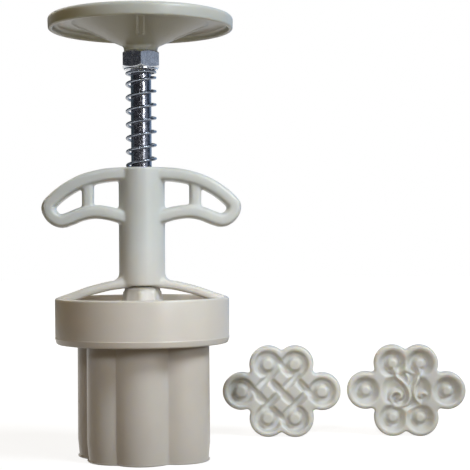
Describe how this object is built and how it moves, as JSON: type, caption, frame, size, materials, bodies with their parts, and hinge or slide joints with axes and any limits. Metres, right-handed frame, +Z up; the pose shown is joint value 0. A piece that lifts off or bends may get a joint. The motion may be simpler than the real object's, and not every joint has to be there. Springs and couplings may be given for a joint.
{
  "type": "mooncake press",
  "caption": "Hand press with a sprung plunger, finger wings, a bayonet collar and a six-lobed barrel, with two loose pattern plates standing beside it.",
  "frame": {"origin": "centre of the barrel's open rim, on the surface that the press stands on", "axes": "+Z up along the push rod; the wings spread along X and the patterns of the loose plates face -Y"},
  "size_m": [0.2016, 0.1056, 0.1956],
  "materials": {
    "ivory_abs": "satin moulded ABS, ivory white",
    "rod_steel": "bright plated steel, slightly mottled",
    "nut_zinc": "bright zinc plating",
    "spring_steel": "bright plated spring wire"
  },
  "bodies": {
    "barrel": {"mold_barrel": "ivory_abs", "stamp_knot": "ivory_abs", "stamp_scroll": "ivory_abs"},
    "handle": {"handle_body": "ivory_abs", "return_spring": "spring_steel"},
    "plunger": {"push_rod": "rod_steel", "palm_disc": "ivory_abs", "lock_nut": "nut_zinc", "press_foot": "ivory_abs", "foot_washer": "nut_zinc", "foot_nut": "nut_zinc"}
  },
  "joints": [
    {"name": "press_stroke", "type": "slide", "parent": "barrel", "child": "plunger", "axis": [0, 0, -1], "range_m": [0, 0.042], "stiffness_N_per_m": 1650, "springref_m": -0.005, "deforming": ["return_spring"]},
    {"name": "barrel_twist", "type": "hinge", "parent": "barrel", "child": "handle", "pos_m": [0, 0, 0.0539], "axis": [0, 0, 1], "range_deg": [0, 60]}
  ]
}
